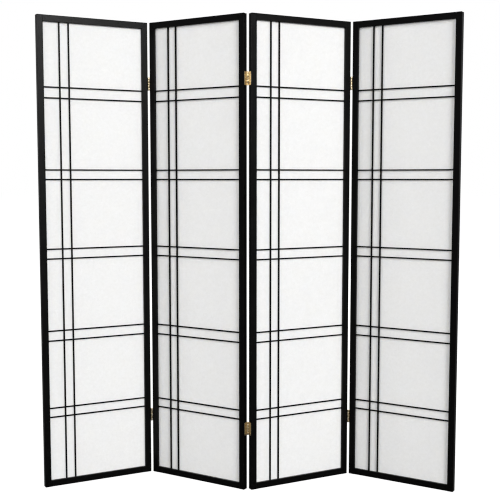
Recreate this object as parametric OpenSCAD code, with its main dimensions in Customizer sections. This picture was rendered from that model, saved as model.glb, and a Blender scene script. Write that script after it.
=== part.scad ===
// Folding screen: four latticed paper panels, hinged edge to edge and standing in a zigzag.
// +Z is up, the front faces -Y, and the origin is on the floor under the middle of the screen.

/* [Screen] */
// Angle between neighbouring panels as the screen stands
fold_angle = 120; // [90:5:160]

/* [Panel] */
// Height of a panel
panel_h = 1784; // [1480:1:2160]
// Width of a panel
panel_w = 436.5; // [340:0.5:540]
// Thickness of the frame, front to back
frame_t = 19; // [15.5:0.5:25]
// Width of a stile seen from the front
stile_w = 24; // [20:0.5:32]
// Height of a rail seen from the front
rail_h = 24; // [20:0.5:32]
// Radius on the long edges of the frame
edge_r = 1.2; // [0.4:0.1:2]
// Radius on the outer corners of a panel
corner_r = 3; // [1:0.5:8]

/* [Rail tenons] */
// How far a tenon reaches into the stile
tenon_l = 14; // [8:0.5:16]
// Height of a tenon
tenon_h = 12; // [8:0.5:14]
// Thickness of a tenon
tenon_t = 7; // [4:0.5:9]

/* [Lattice] */
// Width of an upright bar seen from the front
upright_w = 5.6; // [3:0.2:8]
// Height of a crossbar seen from the front
crossbar_h = 4.8; // [3:0.2:8]
// Depth of a lattice bar, front to back
bar_d = 5; // [3:0.5:6]
// Left edge of the panel to the first upright's centre
upright_inset = 86; // [60:1:120]
// Distance between the two uprights' centres
upright_pitch = 36; // [20:1:60]
// Distance between two pairs of crossbars
pair_pitch = 304; // [240:1:330]
// How far each pair sits above its even place, from the lowest pair up
pair_shift = [3, -4, 5, 0, 1];
// Distance between the two bars of each pair, from the lowest pair up
pair_gap = [35, 38, 37, 36, 40];
// How far the ends of the bars and the paper's edges reach into the frame
seat_d = 3; // [2:0.5:4]

/* [Paper] */
// Thickness of the paper
paper_t = 0.4; // [0.2:0.1:1]

/* [Hinges] */
// Height of a hinge
hinge_h = 50; // [40:1:70]
// End of the panel to the middle of a hinge
hinge_inset = 235; // [120:1:260]
// Outer diameter of a knuckle
barrel_d = 4.9; // [4.6:0.1:8]
// Diameter of the hinge pin
pin_d = 2.6; // [2:0.1:2.8]
// Thickness of a hinge leaf
leaf_t = 1.2; // [0.9:0.1:1.5]
// Leaf's free edge to the far face of the stile
leaf_margin = 1.5; // [1.5:0.5:4]
// Radius on the leaf's free corners
leaf_corner_r = 2; // [0.5:0.5:4]

/* [Screws] */
// Diameter of a screw's shank
screw_d = 3; // [2:0.1:3.6]
// Diameter of a screw's head
screw_head_d = 5.6; // [4.2:0.1:6.6]
// Length of a screw, head included
screw_l = 13; // [8:0.5:15]
// Distance between the outer screws' centres and the middle one's
screw_pitch = 17; // [12:0.5:17]
// How far the middle screw stands off the line of the other two
screw_stagger = 3; // [0:0.5:4]

/* [Clearances] */
// Gap around each glued joint of the woodwork, and around the paper in its groove
joint_gap = 0.05; // [0.02:0.01:0.1]
// Gap between pin and knuckle, all round
pin_gap = 0.05; // [0.02:0.01:0.1]
// Gap between two knuckles, end to end
knuckle_gap = 0.2; // [0.1:0.05:0.4]
// Gap between a knuckle and the frame or leaf that swings around it
swing_gap = 0.3; // [0.2:0.05:0.6]
// Gap between a leaf's outer face and the barrel's side
leaf_step = 0.1; // [0.05:0.05:0.3]
// Gap around a screw in its hole
screw_gap = 0.05; // [0.02:0.01:0.1]

/* [Hidden] */
$fn = 48;
cut_over = 1;
// Panels and folds are counted from the left, and fold 1 joins panels 1 and 2.
panels = [1, 2, 3, 4];
folds = [1, 2, 3];
levels = ["upper", "lower"];
yaw_size = 90 - fold_angle / 2;
side_gap = barrel_d + 2 * leaf_step;
pin_off = barrel_d / 2 + swing_gap;
clear_w = panel_w - 2 * stile_w;
clear_h = panel_h - 2 * rail_h;
mid_y = frame_t / 2;
front_bar_y = mid_y - paper_t / 2 - bar_d;
back_bar_y = mid_y + paper_t / 2;
uprights = [upright_inset, upright_inset + upright_pitch];
pair_middle = [for (k = [0:4]) panel_h / 2 + (k - 2) * pair_pitch + pair_shift[k]];
crossbars = [for (k = [0:4]) for (s = [-1, 1]) pair_middle[k] + s * pair_gap[k] / 2];
leaf_w = frame_t - leaf_margin + pin_off;
knuckles = 5;
knuckle_l = (hinge_h - (knuckles - 1) * knuckle_gap) / knuckles;
screw_line = pin_off + mid_y - screw_stagger / 3;

function hinge_z(level) = level == "upper" ? panel_h - hinge_inset : hinge_inset;
// Folds 1 and 3 turn on pins in front of the panels, fold 2 on pins behind them.
function front_pin(fold) = fold != 2;

// Plan of the screen: each panel's turn, its two directions and its front left corner.
function yaw(p) = (p % 2 == 1) ? yaw_size : -yaw_size;
function along(p) = [cos(yaw(p)), sin(yaw(p))];
function forward(p) = [sin(yaw(p)), -cos(yaw(p))];
fold_depth = panel_w * sin(yaw_size) + frame_t * cos(yaw_size);
middle_front = (frame_t + pin_off) * cos(yaw_size) - side_gap / 2 * sin(yaw_size);
middle_pin = [0, middle_front - fold_depth / 2];
panel_2_corner = middle_pin - (panel_w + side_gap / 2) * along(2) + (frame_t + pin_off) * forward(2);
panel_3_corner = middle_pin + side_gap / 2 * along(3) + (frame_t + pin_off) * forward(3);
left_pin = panel_2_corner - side_gap / 2 * along(2) + pin_off * forward(2);
right_pin = panel_3_corner + (panel_w + side_gap / 2) * along(3) + pin_off * forward(3);
panel_1_corner = left_pin - (panel_w + side_gap / 2) * along(1) - pin_off * forward(1);
panel_4_corner = right_pin + side_gap / 2 * along(4) - pin_off * forward(4);
corners = [panel_1_corner, panel_2_corner, panel_3_corner, panel_4_corner];

function panel_node(p, piece) = str("panel_", p, "_", piece);
function hinge_node(fold, level, piece) = str("hinge_", fold, "_", level, "_", piece);
wood_pieces = ["left_stile", "right_stile", "top_rail", "bottom_rail"];
lattice_pieces = ["front_uprights", "front_crossbars", "back_uprights", "back_crossbars"];
panel_pieces = concat(wood_pieces, lattice_pieces, ["paper", "screws"]);
hinge_pieces = ["left_leaf", "right_leaf", "pin"];

// Stands a panel's pieces in their place. A panel's own frame has x along its width from the left,
// y from its front face to its back and z up.
module in_panel(p) {
    translate([corners[p - 1][0], corners[p - 1][1], 0]) rotate([0, 0, yaw(p)]) children();
}

// Turns a hinge piece, drawn round its own pin with the stile towards +y, into a panel's frame.
// The pin is at the right edge of the panel left of the fold and at the left edge of the other.
module at_pin(fold, level, right_edge) {
    x = right_edge ? panel_w + side_gap / 2 : -side_gap / 2;
    y = front_pin(fold) ? -pin_off : frame_t + pin_off;
    translate([x, y, hinge_z(level)])
    mirror([right_edge ? 0 : 1, 0, 0])
    mirror([0, front_pin(fold) ? 0 : 1, 0])
    children();
}

// ---- frame ----

module rounded_rectangle(w, h, r) {
    translate([r, 0]) square([w - 2 * r, h]);
    translate([0, r]) square([w, h - 2 * r]);
    for (x = [r, w - r]) for (y = [r, h - r]) translate([x, y]) circle(r);
}

// A whole panel's outline with its rounded corners, as a slab front to back.
module panel_outline() {
    translate([0, frame_t + cut_over, 0])
    rotate([90, 0, 0])
    linear_extrude(frame_t + 2 * cut_over)
    rounded_rectangle(panel_w, panel_h, corner_r);
}

// The seat of the lattice and the paper that is cut into all four members of the frame.
module lattice_seat() {
    seat_w = clear_w + 2 * seat_d;
    seat_h = clear_h + 2 * seat_d;
    left = stile_w - seat_d;
    low = rail_h - seat_d;
    translate([left, mid_y - paper_t / 2 - joint_gap, low]) cube([seat_w, paper_t + 2 * joint_gap, seat_h]);
    for (y = [front_bar_y, back_bar_y]) {
        for (x = uprights)
            translate([x - upright_w / 2 - joint_gap, y - joint_gap, low])
            cube([upright_w + 2 * joint_gap, bar_d + 2 * joint_gap, seat_h]);
        for (z = crossbars)
            translate([left, y - joint_gap, z - crossbar_h / 2 - joint_gap])
            cube([seat_w, bar_d + 2 * joint_gap, crossbar_h + 2 * joint_gap]);
    }
}

// The two tenons of a rail whose bottom is at z, grown by a gap when they cut their mortises.
module tenons(z, gap) {
    translate([stile_w - tenon_l - gap, mid_y - tenon_t / 2 - gap, z + (rail_h - tenon_h) / 2 - gap])
    cube([clear_w + 2 * tenon_l + 2 * gap, tenon_t + 2 * gap, tenon_h + 2 * gap]);
}

// Holes in the stiles for the screws of every hinge that this panel carries.
module screw_holes(p) {
    for (level = levels) {
        if (p < 4) at_pin(p, level, true) leaf_screws(screw_gap);
        if (p > 1) at_pin(p - 1, level, false) leaf_screws(screw_gap);
    }
}

module stile(p, x) {
    color("#141312")
    difference() {
        intersection() {
            translate([x, 0, 0]) linear_extrude(panel_h) rounded_rectangle(stile_w, frame_t, edge_r);
            panel_outline();
        }
        lattice_seat();
        tenons(0, joint_gap);
        tenons(panel_h - rail_h, joint_gap);
        screw_holes(p);
    }
}

module rail(z) {
    color("#141312")
    difference() {
        union() {
            translate([stile_w, 0, z])
            rotate([90, 0, 90])
            linear_extrude(clear_w)
            rounded_rectangle(frame_t, rail_h, edge_r);
            tenons(z, 0);
        }
        lattice_seat();
    }
}

// ---- lattice and paper ----

// Front half of the bar's depth is cut from the crossbars and back half from the uprights, where they cross.
module lap(y, side) {
    half = bar_d / 2;
    depth = half + joint_gap / 2;
    near = side < 0 ? y - cut_over : y + bar_d - depth;
    for (x = uprights) for (z = crossbars)
        translate([x - upright_w / 2 - joint_gap, near, z - crossbar_h / 2 - joint_gap])
        cube([upright_w + 2 * joint_gap, depth + cut_over, crossbar_h + 2 * joint_gap]);
}

module upright_bars(y) {
    color("#171513")
    difference() {
        for (x = uprights)
            translate([x - upright_w / 2, y, rail_h - seat_d + joint_gap])
            cube([upright_w, bar_d, clear_h + 2 * (seat_d - joint_gap)]);
        lap(y, 1);
    }
}

module crossbar_bars(y) {
    color("#171513")
    difference() {
        for (z = crossbars)
            translate([stile_w - seat_d + joint_gap, y, z - crossbar_h / 2])
            cube([clear_w + 2 * (seat_d - joint_gap), bar_d, crossbar_h]);
        lap(y, -1);
    }
}

module paper() {
    reach = seat_d - joint_gap;
    color("#f4f2ea")
    translate([stile_w - reach, mid_y - paper_t / 2, rail_h - reach])
    cube([clear_w + 2 * reach, paper_t, clear_h + 2 * reach]);
}

// ---- hinges, drawn round their pin with the left leaf at -x and the stile's edge towards +y ----

function knuckle_z(k) = -hinge_h / 2 + k * (knuckle_l + knuckle_gap);

// Heights of the three screws of a leaf and how deep into the stile's edge each one stands.
module at_screws() {
    for (k = [-1, 0, 1])
        translate([-side_gap / 2, screw_line + (k == 0 ? screw_stagger : 0), k * screw_pitch])
        rotate([0, -90, 0])
        children();
}

// A screw along +z with its flat head's top at -leaf_t; grown by a gap when it cuts its holes.
module screw_body(gap) {
    head_r = screw_head_d / 2 + gap;
    shank_r = screw_d / 2 + gap;
    tip_l = screw_d;
    translate([0, 0, -leaf_t]) cylinder(h = leaf_t, r1 = head_r, r2 = shank_r);
    translate([0, 0, -cut_over / 2]) cylinder(h = screw_l - leaf_t - tip_l + cut_over / 2, r = shank_r);
    translate([0, 0, screw_l - leaf_t - tip_l]) cylinder(h = tip_l + gap, r1 = shank_r, r2 = screw_d / 8);
}

module leaf_screws(gap) {
    at_screws() screw_body(gap);
}

module driven_screws() {
    slot_w = screw_head_d / 7;
    slot_l = screw_head_d * 0.6;
    slot_d = leaf_t * 0.6;
    at_screws()
    difference() {
        screw_body(0);
        for (turn = [0, 90])
            rotate([0, 0, turn + 20])
            translate([-slot_l / 2, -slot_w / 2, -leaf_t - cut_over])
            cube([slot_l, slot_w, slot_d + cut_over]);
    }
}

// The screws of every hinge leaf that this panel carries.
module panel_screws(p) {
    color("#b98f4c")
    for (level = levels) {
        if (p < 4) at_pin(p, level, true) driven_screws();
        if (p > 1) at_pin(p - 1, level, false) driven_screws();
    }
}

// The flat of a leaf, square along its knuckles and rounded at its two free corners.
module leaf_flat() {
    intersection() {
        translate([-side_gap / 2, -leaf_corner_r, -hinge_h / 2])
        rotate([90, 0, 90])
        linear_extrude(leaf_t)
        rounded_rectangle(leaf_w + leaf_corner_r, hinge_h, leaf_corner_r);
        translate([-side_gap, 0, -hinge_h]) cube([2 * side_gap, leaf_w + cut_over, 2 * hinge_h]);
    }
}

// first is 0 for the leaf with three knuckles and 1 for the leaf with two.
module leaf(first) {
    color("#c39a55")
    difference() {
        union() {
            leaf_flat();
            for (k = [first:2:knuckles - 1])
                translate([0, 0, knuckle_z(k)]) cylinder(h = knuckle_l, d = barrel_d);
        }
        for (k = [1 - first:2:knuckles - 1])
            translate([-barrel_d, -barrel_d, knuckle_z(k) - knuckle_gap])
            cube([2 * barrel_d, barrel_d + pin_off, knuckle_l + 2 * knuckle_gap]);
        translate([0, 0, -hinge_h]) cylinder(h = 2 * hinge_h, r = pin_d / 2 + pin_gap);
        leaf_screws(screw_gap);
    }
}

// The pin's ends are low domes that rest on the outer knuckles.
module pin() {
    dome_h = pin_d * 0.45;
    dome_r = barrel_d * 0.45;
    color("#c9a25e") {
        translate([0, 0, -hinge_h / 2]) cylinder(h = hinge_h, d = pin_d);
        for (end = [0, 1])
            mirror([0, 0, end])
            translate([0, 0, hinge_h / 2])
            intersection() {
                translate([0, 0, dome_h - dome_r]) sphere(dome_r);
                cylinder(h = dome_r, r = dome_r);
            }
    }
}

// ---- pieces shown ----

for (p = panels) {
    in_panel(p) stile(p, 0);
    in_panel(p) stile(p, panel_w - stile_w);
    in_panel(p) rail(panel_h - rail_h);
    in_panel(p) rail(0);
    in_panel(p) upright_bars(front_bar_y);
    in_panel(p) crossbar_bars(front_bar_y);
    in_panel(p) upright_bars(back_bar_y);
    in_panel(p) crossbar_bars(back_bar_y);
    in_panel(p) paper();
    in_panel(p) panel_screws(p);
}
for (f = folds) for (level = levels) {
    in_panel(f) at_pin(f, level, true) leaf(0);
    in_panel(f + 1) at_pin(f, level, false) leaf(1);
    in_panel(f) at_pin(f, level, true) pin();
}
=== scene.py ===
import math
import bmesh
import bpy
from mathutils import Matrix, Vector

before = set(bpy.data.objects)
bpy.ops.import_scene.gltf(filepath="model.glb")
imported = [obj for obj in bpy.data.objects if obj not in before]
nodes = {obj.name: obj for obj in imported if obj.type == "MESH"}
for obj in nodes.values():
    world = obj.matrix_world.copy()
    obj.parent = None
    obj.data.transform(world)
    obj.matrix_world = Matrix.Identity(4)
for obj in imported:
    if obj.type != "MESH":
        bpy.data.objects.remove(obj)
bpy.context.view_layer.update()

PANELS = (1, 2, 3, 4)
FOLDS = (1, 2, 3)
LEVELS = ("upper", "lower")
# Panels 1 and 3 are turned one way round the vertical and panels 2 and 4 the other way.
PANEL_TURN = {1: math.radians(30), 2: math.radians(-30), 3: math.radians(30), 4: math.radians(-30)}


# ---------------------------------------------------------------- node helpers

# Where a mix node keeps its factor, its two colours and the colour that comes out.
MIX_COLOUR_INPUTS, MIX_COLOUR_OUTPUT = (0, 6, 7), 2
NODE_SPACING = 190


class Tree:
    """Adds nodes to a shader tree from left to right and links them by socket name."""

    def __init__(self, tree):
        self.tree = tree
        self.column = 0

    def add(self, kind, settings=(), **values):
        node = self.tree.nodes.new(kind)
        node.location = (self.column * NODE_SPACING, 0)
        self.column += 1
        for name, value in dict(settings).items():
            setattr(node, name, value)
        for name, value in values.items():
            self.put(node, name.replace("_", " "), value)
        return node

    def put(self, node, place, value):
        """Links a socket to an input, or sets the input's value; place is its name or its number."""
        socket = node.inputs[place]
        if isinstance(value, bpy.types.NodeSocket):
            self.tree.links.new(value, socket)
        else:
            socket.default_value = value

    def maths(self, operation, first, second=None, third=None, clamp=False):
        node = self.add("ShaderNodeMath", {"operation": operation, "use_clamp": clamp})
        for place, value in enumerate((first, second, third)):
            if value is not None:
                self.put(node, place, value)
        return node.outputs[0]

    def spread(self, value, low, high, to_low, to_high, smooth=False):
        node = self.add("ShaderNodeMapRange", {"interpolation_type": "SMOOTHSTEP" if smooth else "LINEAR"})
        for name, number in (("Value", value), ("From Min", low), ("From Max", high),
                             ("To Min", to_low), ("To Max", to_high)):
            self.put(node, name, number)
        return node.outputs["Result"]

    def blend(self, factor, first, second):
        node = self.add("ShaderNodeMix", {"data_type": "RGBA", "blend_type": "MIX"})
        for place, value in zip(MIX_COLOUR_INPUTS, (factor, first, second)):
            self.put(node, place, value)
        return node.outputs[MIX_COLOUR_OUTPUT]

    def stretched(self, vector, sizes):
        """The vector multiplied along each axis: high numbers make a fine pattern, low ones a long one."""
        node = self.add("ShaderNodeVectorMath", {"operation": "MULTIPLY"})
        self.put(node, 0, vector)
        self.put(node, 1, sizes)
        return node.outputs[0]

    def scaled(self, vector, factor):
        """The vector multiplied by one number on every axis."""
        node = self.add("ShaderNodeVectorMath", {"operation": "SCALE"})
        self.put(node, 0, vector)
        self.put(node, "Scale", factor)
        return node.outputs[0]

    def noise(self, vector, scale, detail=3.0, roughness=0.5, distortion=0.0):
        node = self.add("ShaderNodeTexNoise", Scale=scale, Detail=detail, Roughness=roughness,
                        Distortion=distortion)
        self.tree.links.new(vector, node.inputs["Vector"])
        return node.outputs["Fac"]


def new_group(name, inputs, outputs):
    """An empty shader group; inputs are (name, kind, value) and outputs are names of float masks."""
    group = bpy.data.node_groups.new(name, "ShaderNodeTree")
    for label, kind, value in inputs:
        socket = group.interface.new_socket(label, in_out="INPUT", socket_type="NodeSocket" + kind)
        if value is not None:
            socket.default_value = value
    for label in outputs:
        group.interface.new_socket(label, in_out="OUTPUT", socket_type="NodeSocketFloat")
    tree = Tree(group)
    source = tree.add("NodeGroupInput")
    sink = tree.add("NodeGroupOutput")
    return tree, source.outputs, sink


# ---------------------------------------------------------------- shared effects

def make_timber_grain():
    """Straight grain along Z: soft figure, short open pores and the slow unevenness of a painted coat."""
    tree, given, sink = new_group("timber_grain", (("Vector", "Vector", None), ("Fineness", "Float", 1.0)),
                                  ("Figure", "Pores", "Coat"))
    place = tree.scaled(given["Vector"], given["Fineness"])
    figure = tree.noise(tree.stretched(place, (210, 210, 7)), 1.0, 5.0, 0.6, 0.5)
    fine = tree.noise(tree.stretched(place, (780, 780, 34)), 1.0, 2.0, 0.5, 0.2)
    pores = tree.spread(fine, 0.60, 0.70, 0.0, 1.0, smooth=True)
    coat = tree.noise(tree.stretched(place, (26, 26, 9)), 1.0, 3.0, 0.55, 0.3)
    for name, value in (("Figure", figure), ("Pores", pores), ("Coat", coat)):
        tree.put(sink, name, value)
    return tree.tree


def make_handling():
    """Marks of use: cloudy smears from dusting and handling, and specks of settled dust."""
    tree, given, sink = new_group("handling_marks", (("Vector", "Vector", None), ("Size", "Float", 1.0)),
                                  ("Smears", "Dust"))
    place = tree.scaled(given["Vector"], given["Size"])
    clouds = tree.noise(place, 14.0, 4.0, 0.6, 0.8)
    smears = tree.spread(clouds, 0.42, 0.66, 0.0, 1.0, smooth=True)
    specks = tree.noise(place, 1500.0, 1.0, 0.5, 0.0)
    dust = tree.maths("MULTIPLY", tree.spread(specks, 0.68, 0.76, 0.0, 1.0, smooth=True), smears)
    tree.put(sink, "Smears", smears)
    tree.put(sink, "Dust", dust)
    return tree.tree


def make_paper_fibres():
    """Handmade paper: long wandering fibres over a cloudy pulp, a fine tooth and slow cockling."""
    tree, given, sink = new_group("paper_fibres", (("Vector", "Vector", None), ("Fibre Width", "Float", 0.012)),
                                  ("Fibres", "Pulp", "Tooth", "Cockle"))
    place = given["Vector"]
    strands = None
    for sizes, bend in (((34, 34, 12), 1.6), ((15, 15, 40), 1.9), ((56, 56, 52), 2.6)):
        lines = tree.noise(tree.stretched(place, sizes), 1.0, 1.0, 0.4, bend)
        off = tree.maths("ABSOLUTE", tree.maths("SUBTRACT", lines, 0.5))
        thread = tree.maths("SUBTRACT", 1.0, tree.maths("DIVIDE", off, given["Fibre Width"]), clamp=True)
        strands = thread if strands is None else tree.maths("MAXIMUM", strands, thread)
    patches = tree.noise(place, 38.0, 2.0, 0.5, 0.6)
    broken = tree.spread(patches, 0.44, 0.60, 0.0, 1.0, smooth=True)
    pulp = tree.noise(place, 85.0, 5.0, 0.65, 0.2)
    tooth = tree.noise(place, 1400.0, 2.0, 0.6, 0.0)
    cockle = tree.noise(tree.stretched(place, (13, 13, 9)), 1.0, 1.0, 0.4, 0.0)
    for name, value in (("Fibres", tree.maths("MULTIPLY", strands, broken)), ("Pulp", pulp),
                        ("Tooth", tooth), ("Cockle", cockle)):
        tree.put(sink, name, value)
    return tree.tree


def make_polish_lines():
    """Polished metal: fine drawn lines along Z, a few stray scratches and slow dulling."""
    tree, given, sink = new_group("polish_lines", (("Vector", "Vector", None), ("Line Size", "Float", 1.0)),
                                  ("Lines", "Scratches", "Dulling"))
    place = tree.scaled(given["Vector"], given["Line Size"])
    lines = tree.noise(tree.stretched(place, (3200, 3200, 90)), 1.0, 2.0, 0.5, 0.0)
    stray = tree.noise(tree.stretched(place, (240, 240, 330)), 1.0, 1.0, 0.4, 2.4)
    off = tree.maths("ABSOLUTE", tree.maths("SUBTRACT", stray, 0.5))
    scratches = tree.maths("SUBTRACT", 1.0, tree.maths("DIVIDE", off, 0.006), clamp=True)
    dulling = tree.noise(place, 130.0, 4.0, 0.6, 0.6)
    for name, value in (("Lines", lines), ("Scratches", scratches), ("Dulling", dulling)):
        tree.put(sink, name, value)
    return tree.tree


timber_grain = make_timber_grain()
handling_marks = make_handling()
paper_fibres = make_paper_fibres()
polish_lines = make_polish_lines()


# ---------------------------------------------------------------- materials

def new_material(name, turn=None):
    """A material with its shader and the object coordinates, turned where a pattern follows another way."""
    material = bpy.data.materials.new(name)
    material.use_nodes = True
    material.node_tree.nodes.clear()
    tree = Tree(material.node_tree)
    place = tree.add("ShaderNodeTexCoord").outputs["Object"]
    if turn is not None:
        mapping = tree.add("ShaderNodeMapping", {"vector_type": "POINT"}, Rotation=turn)
        tree.tree.links.new(place, mapping.inputs["Vector"])
        place = mapping.outputs["Vector"]
    shader = tree.add("ShaderNodeBsdfPrincipled")
    out = tree.add("ShaderNodeOutputMaterial")
    tree.tree.links.new(shader.outputs[0], out.inputs["Surface"])
    return material, tree, place, shader


def use(tree, group, place, **values):
    node = tree.add("ShaderNodeGroup", {"node_tree": group})
    tree.tree.links.new(place, node.inputs["Vector"])
    for name, value in values.items():
        node.inputs[name.replace("_", " ")].default_value = value
    return node.outputs


def bump(tree, shader, height, strength, distance, under=None):
    node = tree.add("ShaderNodeBump", Strength=strength, Distance=distance)
    tree.tree.links.new(height, node.inputs["Height"])
    if under is not None:
        tree.tree.links.new(under, node.inputs["Normal"])
    if shader is not None:
        tree.tree.links.new(node.outputs["Normal"], shader.inputs["Normal"])
    return node.outputs["Normal"]


PORE_BLACK = (0.0006, 0.0006, 0.0006, 1)
DUST_GREY = (0.10, 0.095, 0.09, 1)
PULP_THIN, PULP_THICK = (0.835, 0.834, 0.826, 1), (0.882, 0.882, 0.878, 1)
FIBRE_WHITE = (0.925, 0.925, 0.92, 1)
SHEET_ROUGHNESS, FIBRE_ROUGHNESS = 0.93, 0.78
SHEET_GLOW = (1.0, 0.95, 0.85)
SHEET_GLOW_DEPTH = 0.0006


def black_wood(name, turn, fineness, low, high, dull, shine):
    """Satin black paint over close timber, its grain just telling through the coat."""
    material, tree, place, shader = new_material(name, turn)
    grain = use(tree, timber_grain, place, Fineness=fineness)
    marks = use(tree, handling_marks, place, Size=1.0)
    colour = tree.blend(grain["Figure"], (*low, 1), (*high, 1))
    colour = tree.blend(tree.maths("MULTIPLY", grain["Pores"], 0.7), colour, PORE_BLACK)
    colour = tree.blend(tree.maths("MULTIPLY", marks["Dust"], 0.10), colour, DUST_GREY)
    tree.put(shader, "Base Color", colour)
    rough = tree.spread(grain["Coat"], 0.3, 0.7, dull[0], dull[1])
    rough = tree.maths("MULTIPLY_ADD", marks["Smears"], 0.035, rough)
    rough = tree.maths("MULTIPLY_ADD", grain["Pores"], 0.12, rough)
    tree.put(shader, "Roughness", rough)
    height = tree.maths("MULTIPLY_ADD", grain["Pores"], -0.55, grain["Figure"])
    bump(tree, shader, height, 0.35, 0.00012)
    tree.put(shader, "Specular IOR Level", shine)
    return material


def white_paper(name, turn):
    """Handmade paper: matt, near white, letting some light through."""
    material, tree, place, shader = new_material(name, turn)
    sheet = use(tree, paper_fibres, place)
    colour = tree.blend(tree.spread(sheet["Pulp"], 0.3, 0.7, 0.0, 1.0),
                        PULP_THIN, PULP_THICK)
    colour = tree.blend(tree.maths("MULTIPLY", sheet["Fibres"], 0.55), colour, FIBRE_WHITE)
    tree.put(shader, "Base Color", colour)
    tree.put(shader, "Roughness", tree.spread(sheet["Fibres"], 0.0, 1.0, SHEET_ROUGHNESS, FIBRE_ROUGHNESS))
    slow = bump(tree, None, sheet["Cockle"], 0.5, 0.0035)
    fine = tree.maths("MULTIPLY_ADD", sheet["Fibres"], 0.8, sheet["Tooth"])
    bump(tree, shader, fine, 0.25, 0.00006, slow)
    tree.put(shader, "Specular IOR Level", 0.25)
    tree.put(shader, "Subsurface Weight", 0.35)
    tree.put(shader, "Subsurface Radius", SHEET_GLOW)
    tree.put(shader, "Subsurface Scale", SHEET_GLOW_DEPTH)
    return material


def brass(name, bright, dull, line_size, sheen, relief):
    """Lacquered brass, polished along its length, warmer and duller in slow patches."""
    material, tree, place, shader = new_material(name)
    polish = use(tree, polish_lines, place, Line_Size=line_size)
    marks = use(tree, handling_marks, place, Size=6.0)
    patches = tree.spread(polish["Dulling"], 0.35, 0.68, 0.0, 1.0, smooth=True)
    colour = tree.blend(patches, (*bright, 1), (*dull, 1))
    tree.put(shader, "Base Color", colour)
    rough = tree.spread(polish["Lines"], 0.25, 0.75, sheen[0], sheen[1])
    rough = tree.maths("MULTIPLY_ADD", patches, 0.05, rough)
    rough = tree.maths("MULTIPLY_ADD", marks["Smears"], 0.04, rough)
    tree.put(shader, "Roughness", rough)
    height = tree.maths("MULTIPLY_ADD", polish["Scratches"], -0.8, polish["Lines"])
    bump(tree, shader, height, relief, 0.00002)
    tree.put(shader, "Metallic", 1.0)
    return material


def turned(panel, lengthways):
    """The turn that lays a pattern square to a panel; lengthways also lays its Z along the panel's width."""
    turn = Matrix.Rotation(-PANEL_TURN[panel], 3, "Z")
    if lengthways:
        turn = Matrix.Rotation(math.radians(-90), 3, "Y") @ turn
    return turn.to_euler("XYZ")


# Dark and light ends of the paint's figure, roughness from and to, and specular level.
FRAME_LOW, FRAME_HIGH = (0.0004, 0.0004, 0.0005), (0.0013, 0.0012, 0.0011)
BAR_LOW, BAR_HIGH = (0.0005, 0.0005, 0.0005), (0.0015, 0.0014, 0.0013)
FRAME_DULL, BAR_DULL = (0.27, 0.33), (0.34, 0.42)
FRAME_SHINE, BAR_SHINE = 0.11, 0.08

finish = {}
for side, panel in (("odd", 1), ("even", 2)):
    finish["stile", side] = black_wood("black_paint_upright_" + side, turned(panel, False), 1.0,
                                       FRAME_LOW, FRAME_HIGH, FRAME_DULL, FRAME_SHINE)
    finish["rail", side] = black_wood("black_paint_level_" + side, turned(panel, True), 1.0,
                                      FRAME_LOW, FRAME_HIGH, FRAME_DULL, FRAME_SHINE)
    finish["uprights", side] = black_wood("black_lattice_upright_" + side, turned(panel, False), 1.7,
                                          BAR_LOW, BAR_HIGH, BAR_DULL, BAR_SHINE)
    finish["crossbars", side] = black_wood("black_lattice_level_" + side, turned(panel, True), 1.7,
                                           BAR_LOW, BAR_HIGH, BAR_DULL, BAR_SHINE)
    finish["paper", side] = white_paper("white_paper_" + side, turned(panel, False))

finish["leaf"] = brass("brass_leaf", (0.81, 0.70, 0.48), (0.71, 0.56, 0.34), 1.0, (0.20, 0.30), 0.30)
finish["pin"] = brass("brass_pin", (0.84, 0.72, 0.48), (0.75, 0.59, 0.35), 1.4, (0.16, 0.24), 0.20)
finish["screws"] = brass("brass_screw", (0.78, 0.65, 0.42), (0.66, 0.50, 0.28), 1.8, (0.24, 0.34), 0.25)


# ---------------------------------------------------------------- the screen's own pieces

# Metres, but for the segments and the angles.
BAR_EASE, LEAF_EASE = 0.00035, 0.00015
EASE_SEGMENTS = 2
WELD_REACH = 0.000002
FLAT_WITHIN = math.radians(1)
SHARP_ABOVE = math.radians(40)


def ease_edges(piece, width):
    """Breaks the sharp edges of a worked piece, as sandpaper or a file does."""
    weld = piece.modifiers.new("join_faces", "WELD")
    weld.merge_threshold = WELD_REACH
    flat = piece.modifiers.new("flat_faces", "DECIMATE")
    flat.decimate_type = "DISSOLVE"
    flat.angle_limit = FLAT_WITHIN
    ease = piece.modifiers.new("eased_edges", "BEVEL")
    ease.width = width
    ease.segments = EASE_SEGMENTS
    ease.limit_method = "ANGLE"
    ease.angle_limit = SHARP_ABOVE
    ease.harden_normals = True
    ease.use_clamp_overlap = True


def dress(name, material):
    """Puts one material on every slot of a piece and hands the piece back."""
    piece = nodes[name]
    for slot in piece.material_slots:
        slot.material = material
    return piece


for panel in PANELS:
    side = "odd" if panel % 2 else "even"
    for stile in ("left_stile", "right_stile"):
        dress(f"panel_{panel}_{stile}", finish["stile", side])
    for rail in ("top_rail", "bottom_rail"):
        dress(f"panel_{panel}_{rail}", finish["rail", side])
    for face in ("front", "back"):
        for bars in ("uprights", "crossbars"):
            ease_edges(dress(f"panel_{panel}_{face}_{bars}", finish[bars, side]), BAR_EASE)
    dress(f"panel_{panel}_paper", finish["paper", side])
    dress(f"panel_{panel}_screws", finish["screws"])
for fold in FOLDS:
    for level in LEVELS:
        for leaf in ("left_leaf", "right_leaf"):
            ease_edges(dress(f"hinge_{fold}_{level}_{leaf}", finish["leaf"]), LEAF_EASE)
        dress(f"hinge_{fold}_{level}_pin", finish["pin"])


# ---------------------------------------------------------------- floor, light and camera

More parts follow.
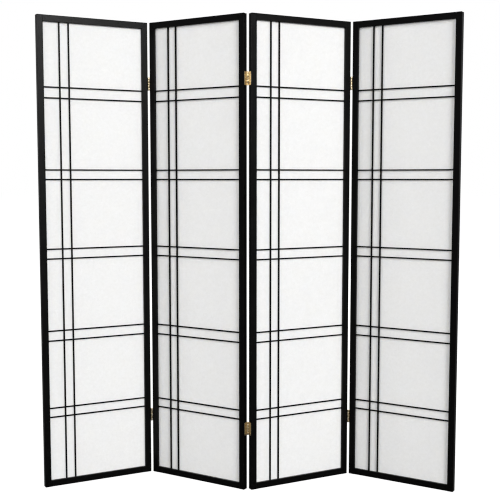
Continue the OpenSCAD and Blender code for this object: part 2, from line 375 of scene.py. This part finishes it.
FLOOR_REACH = 60.0
FLOOR_DARK, FLOOR_PALE = (0.19, 0.19, 0.19, 1), (0.22, 0.22, 0.22, 1)
FLOOR_UNSEEN = (0.20, 0.20, 0.20, 1)
FLOOR_GLOW = 0.88
WHITE = (1, 1, 1, 1)
SURROUND_LIT, SURROUND_SEEN = 0.44, 1.0
LIGHT_AIM = (0, 0, 0.9)
CAMERA_PLACE = (0.1275, -3.6146, 1.1844)
CAMERA_TURN = (math.radians(84.862), 0.0, math.radians(1.948))


def make_floor():
    """A wide pale floor, white to the camera and a dim grey to every other ray."""
    shape = bmesh.new()
    bmesh.ops.create_grid(shape, x_segments=1, y_segments=1, size=FLOOR_REACH)
    mesh = bpy.data.meshes.new("studio_floor")
    shape.to_mesh(mesh)
    shape.free()
    floor = bpy.data.objects.new("studio_floor", mesh)
    bpy.context.scene.collection.objects.link(floor)
    material = bpy.data.materials.new("pale_floor")
    material.use_nodes = True
    material.node_tree.nodes.clear()
    tree = Tree(material.node_tree)
    place = tree.add("ShaderNodeTexCoord").outputs["Object"]
    mottle = tree.noise(place, 3.0, 4.0, 0.6, 0.0)
    seen = tree.add("ShaderNodeLightPath").outputs["Is Camera Ray"]
    pale = tree.blend(mottle, FLOOR_DARK, FLOOR_PALE)
    dim = tree.add("ShaderNodeBsdfDiffuse", Color=FLOOR_UNSEEN)
    bright = tree.add("ShaderNodeBsdfPrincipled", Roughness=0.9)
    tree.put(bright, "Base Color", pale)
    tree.put(bright, "Emission Color", WHITE)
    tree.put(bright, "Emission Strength", FLOOR_GLOW)
    mix = tree.add("ShaderNodeMixShader")
    for place, value in enumerate((seen, dim.outputs[0], bright.outputs[0])):
        tree.put(mix, place, value)
    out = tree.add("ShaderNodeOutputMaterial")
    tree.tree.links.new(mix.outputs[0], out.inputs["Surface"])
    mesh.materials.append(material)


def make_softbox(name, bearing, distance, height, wide, high, power, mirrored=True):
    """A soft light at a bearing in degrees from straight in front, towards the right.

    Sizes are in metres and power in watts; mirrored says whether gloss shows the light.
    """
    data = bpy.data.lights.new(name, "AREA")
    data.shape = "RECTANGLE"
    data.size, data.size_y = wide, high
    data.energy = power
    light = bpy.data.objects.new(name, data)
    turn = math.radians(bearing)
    light.location = (distance * math.sin(turn), -distance * math.cos(turn), height)
    light.rotation_euler = (Vector(LIGHT_AIM) - light.location).to_track_quat("-Z", "Y").to_euler()
    light.visible_camera = False
    light.visible_glossy = mirrored
    bpy.context.scene.collection.objects.link(light)


def make_world():
    """A white surround to the camera and a dimmer one to every other ray."""
    world = bpy.data.worlds.new("studio")
    world.use_nodes = True
    world.node_tree.nodes.clear()
    tree = Tree(world.node_tree)
    seen = tree.add("ShaderNodeLightPath").outputs["Is Camera Ray"]
    dim = tree.add("ShaderNodeBackground", Color=WHITE, Strength=SURROUND_LIT)
    white = tree.add("ShaderNodeBackground", Color=WHITE, Strength=SURROUND_SEEN)
    mix = tree.add("ShaderNodeMixShader")
    for place, value in enumerate((seen, dim.outputs[0], white.outputs[0])):
        tree.put(mix, place, value)
    out = tree.add("ShaderNodeOutputWorld")
    tree.tree.links.new(mix.outputs[0], out.inputs["Surface"])
    bpy.context.scene.world = world


def make_camera():
    data = bpy.data.cameras.new("camera")
    data.sensor_width = 36.0
    data.lens = 67.88
    data.shift_y = 0.0251
    data.clip_end = 200.0
    camera = bpy.data.objects.new("camera", data)
    camera.location = CAMERA_PLACE
    camera.rotation_euler = CAMERA_TURN
    bpy.context.scene.collection.objects.link(camera)
    bpy.context.scene.camera = camera


make_floor()
make_softbox("key_softbox", 36, 20.0, 8.9, 8.6, 8.6, 3500)
make_softbox("front_softbox", -18, 8.0, 3.5, 4.0, 3.0, 60)
make_softbox("left_softbox", -68, 8.0, 2.6, 3.2, 4.0, 190, mirrored=False)
make_softbox("back_softbox", 170, 9.0, 4.4, 4.0, 4.0, 420)
make_world()
make_camera()

scene = bpy.context.scene
scene.view_settings.view_transform = "Standard"
scene.view_settings.look = "None"
scene.view_settings.exposure = 0.0
scene.view_settings.gamma = 1.0
scene.cycles.filter_width = 1.15
